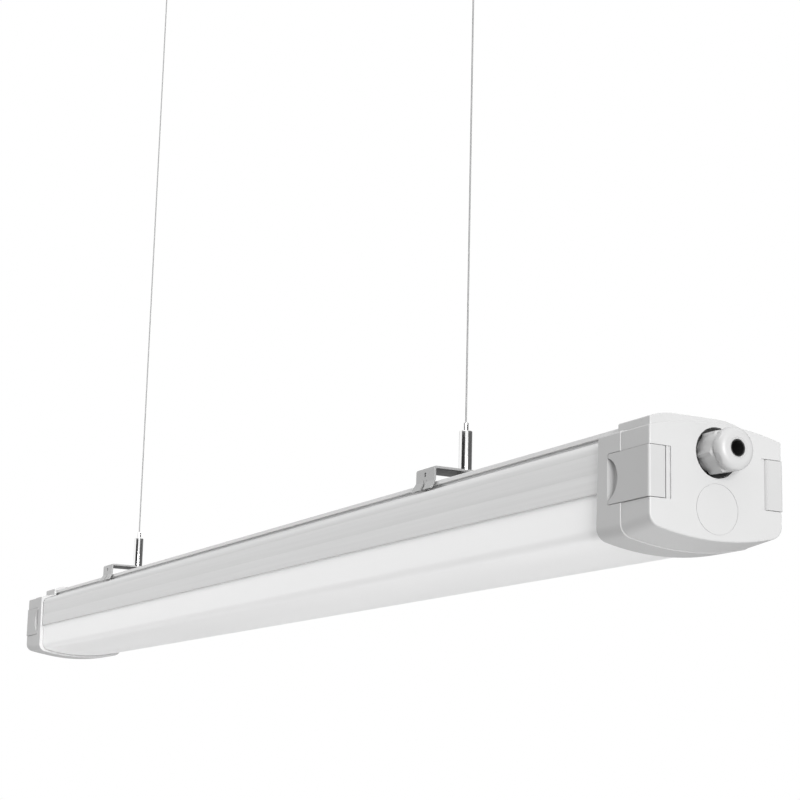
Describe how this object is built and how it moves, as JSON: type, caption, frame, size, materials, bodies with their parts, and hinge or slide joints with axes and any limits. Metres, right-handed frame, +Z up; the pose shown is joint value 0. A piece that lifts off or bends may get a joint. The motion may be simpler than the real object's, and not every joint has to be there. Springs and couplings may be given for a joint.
{
  "type": "vapor tight light fixture",
  "caption": "Long sealed ceiling light with crowned opal diffuser, latched end caps and cable gland, hung on taut steel wires by grippers and rail brackets.",
  "frame": {"origin": "on the ceiling, midway between the two ceiling screws", "axes": "+X along the fixture towards the end with the cable gland, +Z up"},
  "size_m": [1.2199, 0.0966, 0.7677],
  "materials": {
    "housing_aluminium": "satin anodised, drawn lengthwise",
    "opal_diffuser": "opal, satin gloss",
    "grey_plastic": "fine satin moulding",
    "white_plastic": "fine satin moulding",
    "seal_rubber": "matt",
    "gland_rubber": "matt",
    "gland_plastic": "satin moulding",
    "steel": "plain",
    "tray_paint": "white powder coat",
    "board_white": "white solder mask",
    "chip_yellow": "phosphor under clear resin",
    "driver_case": "plain",
    "block_plastic": "plain",
    "lead_blue": "plain",
    "lead_red": "plain",
    "bracket_steel": "bright rolled strip",
    "gripper_nickel": "nickel plated, turned",
    "wire_steel": "stranded"
  },
  "bodies": {
    "suspension": {"near_bracket": "bracket_steel", "far_bracket": "bracket_steel", "near_gripper": "gripper_nickel", "far_gripper": "gripper_nickel", "near_gripper_nut": "bracket_steel", "far_gripper_nut": "bracket_steel", "near_gripper_spring": "steel", "far_gripper_spring": "steel", "near_wire": "wire_steel", "far_wire": "wire_steel", "near_wire_barrel": "gripper_nickel", "far_wire_barrel": "gripper_nickel", "near_ceiling_cap": "gripper_nickel", "far_ceiling_cap": "gripper_nickel", "near_ceiling_base": "gripper_nickel", "far_ceiling_base": "gripper_nickel"},
    "fixture": {"housing": "housing_aluminium", "diffuser": "opal_diffuser", "diffuser_seals": "seal_rubber", "near_collar": "grey_plastic", "far_collar": "grey_plastic", "near_cover": "white_plastic", "far_cover": "white_plastic", "near_housing_seal": "seal_rubber", "far_housing_seal": "seal_rubber", "near_cover_seal": "seal_rubber", "far_cover_seal": "seal_rubber", "collar_screws": "steel", "latch_pins": "steel", "gland_body": "gland_plastic", "gland_washer": "seal_rubber", "gland_lock_nut": "gland_plastic", "gland_claws": "gland_plastic", "gland_insert": "gland_rubber", "gear_tray": "tray_paint", "led_boards": "board_white", "led_chips": "chip_yellow", "driver": "driver_case", "terminal_block": "block_plastic", "driver_leads": "lead_blue", "led_leads": "lead_red"},
    "near_front_latch": {"near_front_latch": "grey_plastic"},
    "near_back_latch": {"near_back_latch": "grey_plastic"},
    "far_front_latch": {"far_front_latch": "grey_plastic"},
    "far_back_latch": {"far_back_latch": "grey_plastic"},
    "gland_nut": {"gland_nut": "gland_plastic"},
    "near_plunger": {"near_plunger": "gripper_nickel", "near_gripper_balls": "steel"},
    "far_plunger": {"far_plunger": "gripper_nickel", "far_gripper_balls": "steel"}
  },
  "joints": [
    {"name": "fixture_slide", "type": "slide", "parent": "suspension", "child": "fixture", "axis": [1, 0, 0], "range_m": [-0.15, 0.15]},
    {"name": "near_back_latch_hinge", "type": "hinge", "parent": "fixture", "child": "near_back_latch", "pos_m": [0.6229, 0.0418, -0.72785], "axis": [0, 0, -1], "range_deg": [0, 80]},
    {"name": "near_front_latch_hinge", "type": "hinge", "parent": "fixture", "child": "near_front_latch", "pos_m": [0.6229, -0.0418, -0.72785], "axis": [0, 0, 1], "range_deg": [0, 80]},
    {"name": "far_back_latch_hinge", "type": "hinge", "parent": "fixture", "child": "far_back_latch", "pos_m": [-0.5649, 0.0418, -0.72785], "axis": [0, 0, 1], "range_deg": [0, 80]},
    {"name": "far_front_latch_hinge", "type": "hinge", "parent": "fixture", "child": "far_front_latch", "pos_m": [-0.5649, -0.0418, -0.72785], "axis": [0, 0, -1], "range_deg": [0, 80]},
    {"name": "gland_nut_turn", "type": "hinge", "parent": "fixture", "child": "gland_nut", "pos_m": [0.64515, 0, -0.713], "axis": [1, 0, 0], "continuous": true},
    {"name": "near_plunger_push", "type": "slide", "parent": "suspension", "child": "near_plunger", "axis": [0, 0, -1], "range_m": [0, 0.003], "stiffness_N_per_m": 500, "springref_m": -0.002, "deforming": ["near_gripper_spring"]},
    {"name": "far_plunger_push", "type": "slide", "parent": "suspension", "child": "far_plunger", "axis": [0, 0, -1], "range_m": [0, 0.003], "stiffness_N_per_m": 500, "springref_m": -0.002, "deforming": ["far_gripper_spring"]}
  ]
}
